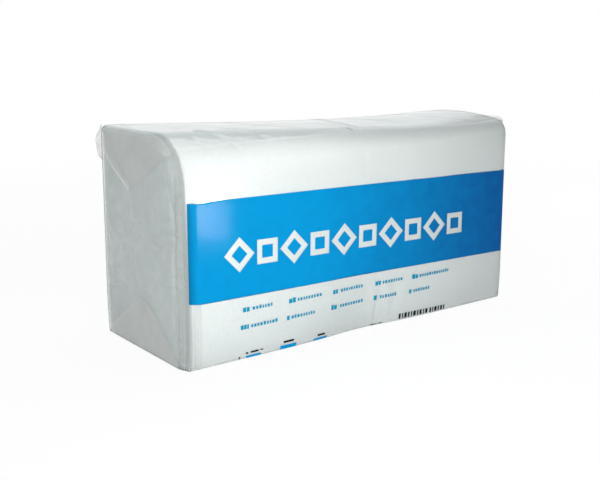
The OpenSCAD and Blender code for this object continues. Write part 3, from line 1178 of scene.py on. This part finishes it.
# The blue and small-print inks hold painted shade: their right colours are darker, as the light falls
# off to the right
BLUE = ink_material("blue_ink", left=(0.001, 0.275, 0.60), right=(0.001, 0.085, 0.29))
TEAL = ink_material("small_print_ink", left=(0.01, 0.30, 0.47), right=(0.01, 0.25, 0.42))
DARK = ink_material("dark_ink", left=(0.012, 0.016, 0.02), right=(0.012, 0.016, 0.02))


def finish_piece(piece, material):
    piece.data.materials.append(material)
    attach(piece, "root")


film = build_film()
finish_piece(film, FILM)
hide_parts("film_wrap")
for end_film in (build_end_film("film_end_left", LEFT), build_end_film("film_end_right", RIGHT)):
    finish_piece(end_film, FILM)
for folded in build_flaps("left", LEFT) + build_flaps("right", RIGHT) + [build_lap(), build_ear()]:
    finish_piece(folded, FLAP_FILM)

left_stack = build_stack("napkins_left", -STACK_OUTER, seed=4)
right_stack = build_stack("napkins_right", STACK_INNER, seed=9)
for napkins in [left_stack, right_stack] + build_front_sheets():
    finish_piece(napkins, PAPER)
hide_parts("napkin_stack_left")
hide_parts("napkin_stack_right")

band = build_band()
for printed in band + [build_edge_squares()]:
    finish_piece(printed, BLUE)
finish_piece(build_small_print(), TEAL)
finish_piece(build_dark_marks(), DARK)
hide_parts("printed_band")


# Floor, light and camera

# The floor, in metres: how wide it is and how far under the part. It looks plain white from
# FLOOR_FAR out. Within FLOOR_NEAR only this share of it is, and the rest keeps the shadow.
FLOOR_WIDTH = 12
FLOOR_DROP = 0.0003
FLOOR_NEAR = 0.3
FLOOR_FAR = 1.2
FLOOR_NEAR_WHITE = 0.92


def seen_white(tree):
    """How much of plain white the camera sees directly, in gloss and through film."""
    ray = tree.nodes.new("ShaderNodeLightPath")
    total = ray.outputs["Is Camera Ray"]
    for name in ("Is Glossy Ray", "Is Transmission Ray"):
        total = add_node(tree, "ShaderNodeMath", {0: total, 1: ray.outputs[name]}, "MAXIMUM").outputs[0]
    return total


def build_floor():
    """A pale floor that keeps a soft shadow."""
    bpy.ops.mesh.primitive_plane_add(size=FLOOR_WIDTH, location=(0, 0, -FLOOR_DROP))
    floor = bpy.context.object
    floor.name = "floor"
    material, tree = new_material("floor")
    matt = add_node(tree, "ShaderNodeBsdfDiffuse", {"Color": (0.85, 0.85, 0.85, 1)})
    white = add_node(tree, "ShaderNodeEmission", {"Color": (1, 1, 1, 1), "Strength": 1.0})
    away = add_node(tree, "ShaderNodeVectorMath", {0: object_place(tree)}, "LENGTH").outputs["Value"]
    share = remap(tree, away, (FLOOR_NEAR, FLOOR_FAR), (FLOOR_NEAR_WHITE, 1.0))
    scaled = add_node(tree, "ShaderNodeMath", {0: seen_white(tree), 1: share}, "MULTIPLY")
    show(tree, blend(tree, scaled.outputs[0], matt, white))
    floor.data.materials.append(material)


def build_world(strength):
    """Soft light from all round, seen as plain white."""
    world = bpy.data.worlds.new("studio")
    world.use_nodes = True
    tree = world.node_tree
    tree.nodes.clear()
    soft = {"Color": (0.96, 1.0, 1.0, 1), "Strength": strength}
    white = {"Color": (1, 1, 1, 1), "Strength": 1.0}
    sides = [add_node(tree, "ShaderNodeBackground", inputs) for inputs in (soft, white)]
    show(tree, blend(tree, seen_white(tree), *sides), "ShaderNodeOutputWorld")
    bpy.context.scene.world = world


def add_lamp(name, place, target, size, power, colour=(1, 1, 1), gloss_only=False):
    """A soft rectangular lamp, placed in metres and aimed at the target."""
    light = bpy.data.lights.new(name, "AREA")
    light.shape = "RECTANGLE"
    light.size, light.size_y = size
    light.energy = power
    light.color = colour
    lamp = bpy.data.objects.new(name, light)
    lamp.location = place
    lamp.rotation_euler = (Vector(target) - Vector(place)).to_track_quat("-Z", "Y").to_euler()
    lamp.visible_diffuse = not gloss_only
    bpy.context.scene.collection.objects.link(lamp)


# The photo's camera, fitted to the pack
CAMERA_PLACE = Vector((-468.11, -594.93, 228.02)) * MM
CAMERA_YAW = math.radians(37.107)
CAMERA_PITCH = math.radians(12.240)
CAMERA_LENS = 54.80


def add_camera():
    camera = bpy.data.objects.new("camera", bpy.data.cameras.new("camera"))
    bpy.context.scene.collection.objects.link(camera)
    camera.data.sensor_width = 36.0
    camera.data.lens = CAMERA_LENS
    camera.location = CAMERA_PLACE
    camera.rotation_euler = (math.pi / 2 - CAMERA_PITCH, 0, -CAMERA_YAW)
    bpy.context.scene.camera = camera


build_floor()
build_world(0.44)
add_lamp("key", (-0.32, -0.42, 0.28), (-0.10, -0.02, 0.09), (0.25, 0.25), 0.78)
add_lamp("front", (-0.64, -1.08, 0.56), (-0.08, -0.06, 0.08), (0.60, 0.60), 3.05)
add_lamp("middle", (-0.07, -0.50, 0.14), (-0.07, -0.06, 0.09), (0.25, 0.25), 0.36)
add_lamp("left", (-1.00, -0.35, 0.40), (-0.16, -0.02, 0.08), (0.50, 0.50), 0.46)
add_lamp("right", (0.92, 0.02, 0.26), (0.165, -0.02, 0.09), (0.35, 0.35), 1.8)
add_lamp("overhead", (0.15, 0.14, 1.10), (0.05, 0, 0.16), (0.80, 0.80), 4.2, colour=(0.94, 0.985, 1.0))
add_lamp("glare", (-0.010, -0.30, 0.068), (-0.14, -0.06, 0.10), (0.042, 0.048), 0.36, gloss_only=True)
add_camera()
bpy.context.scene.view_settings.view_transform = "Standard"
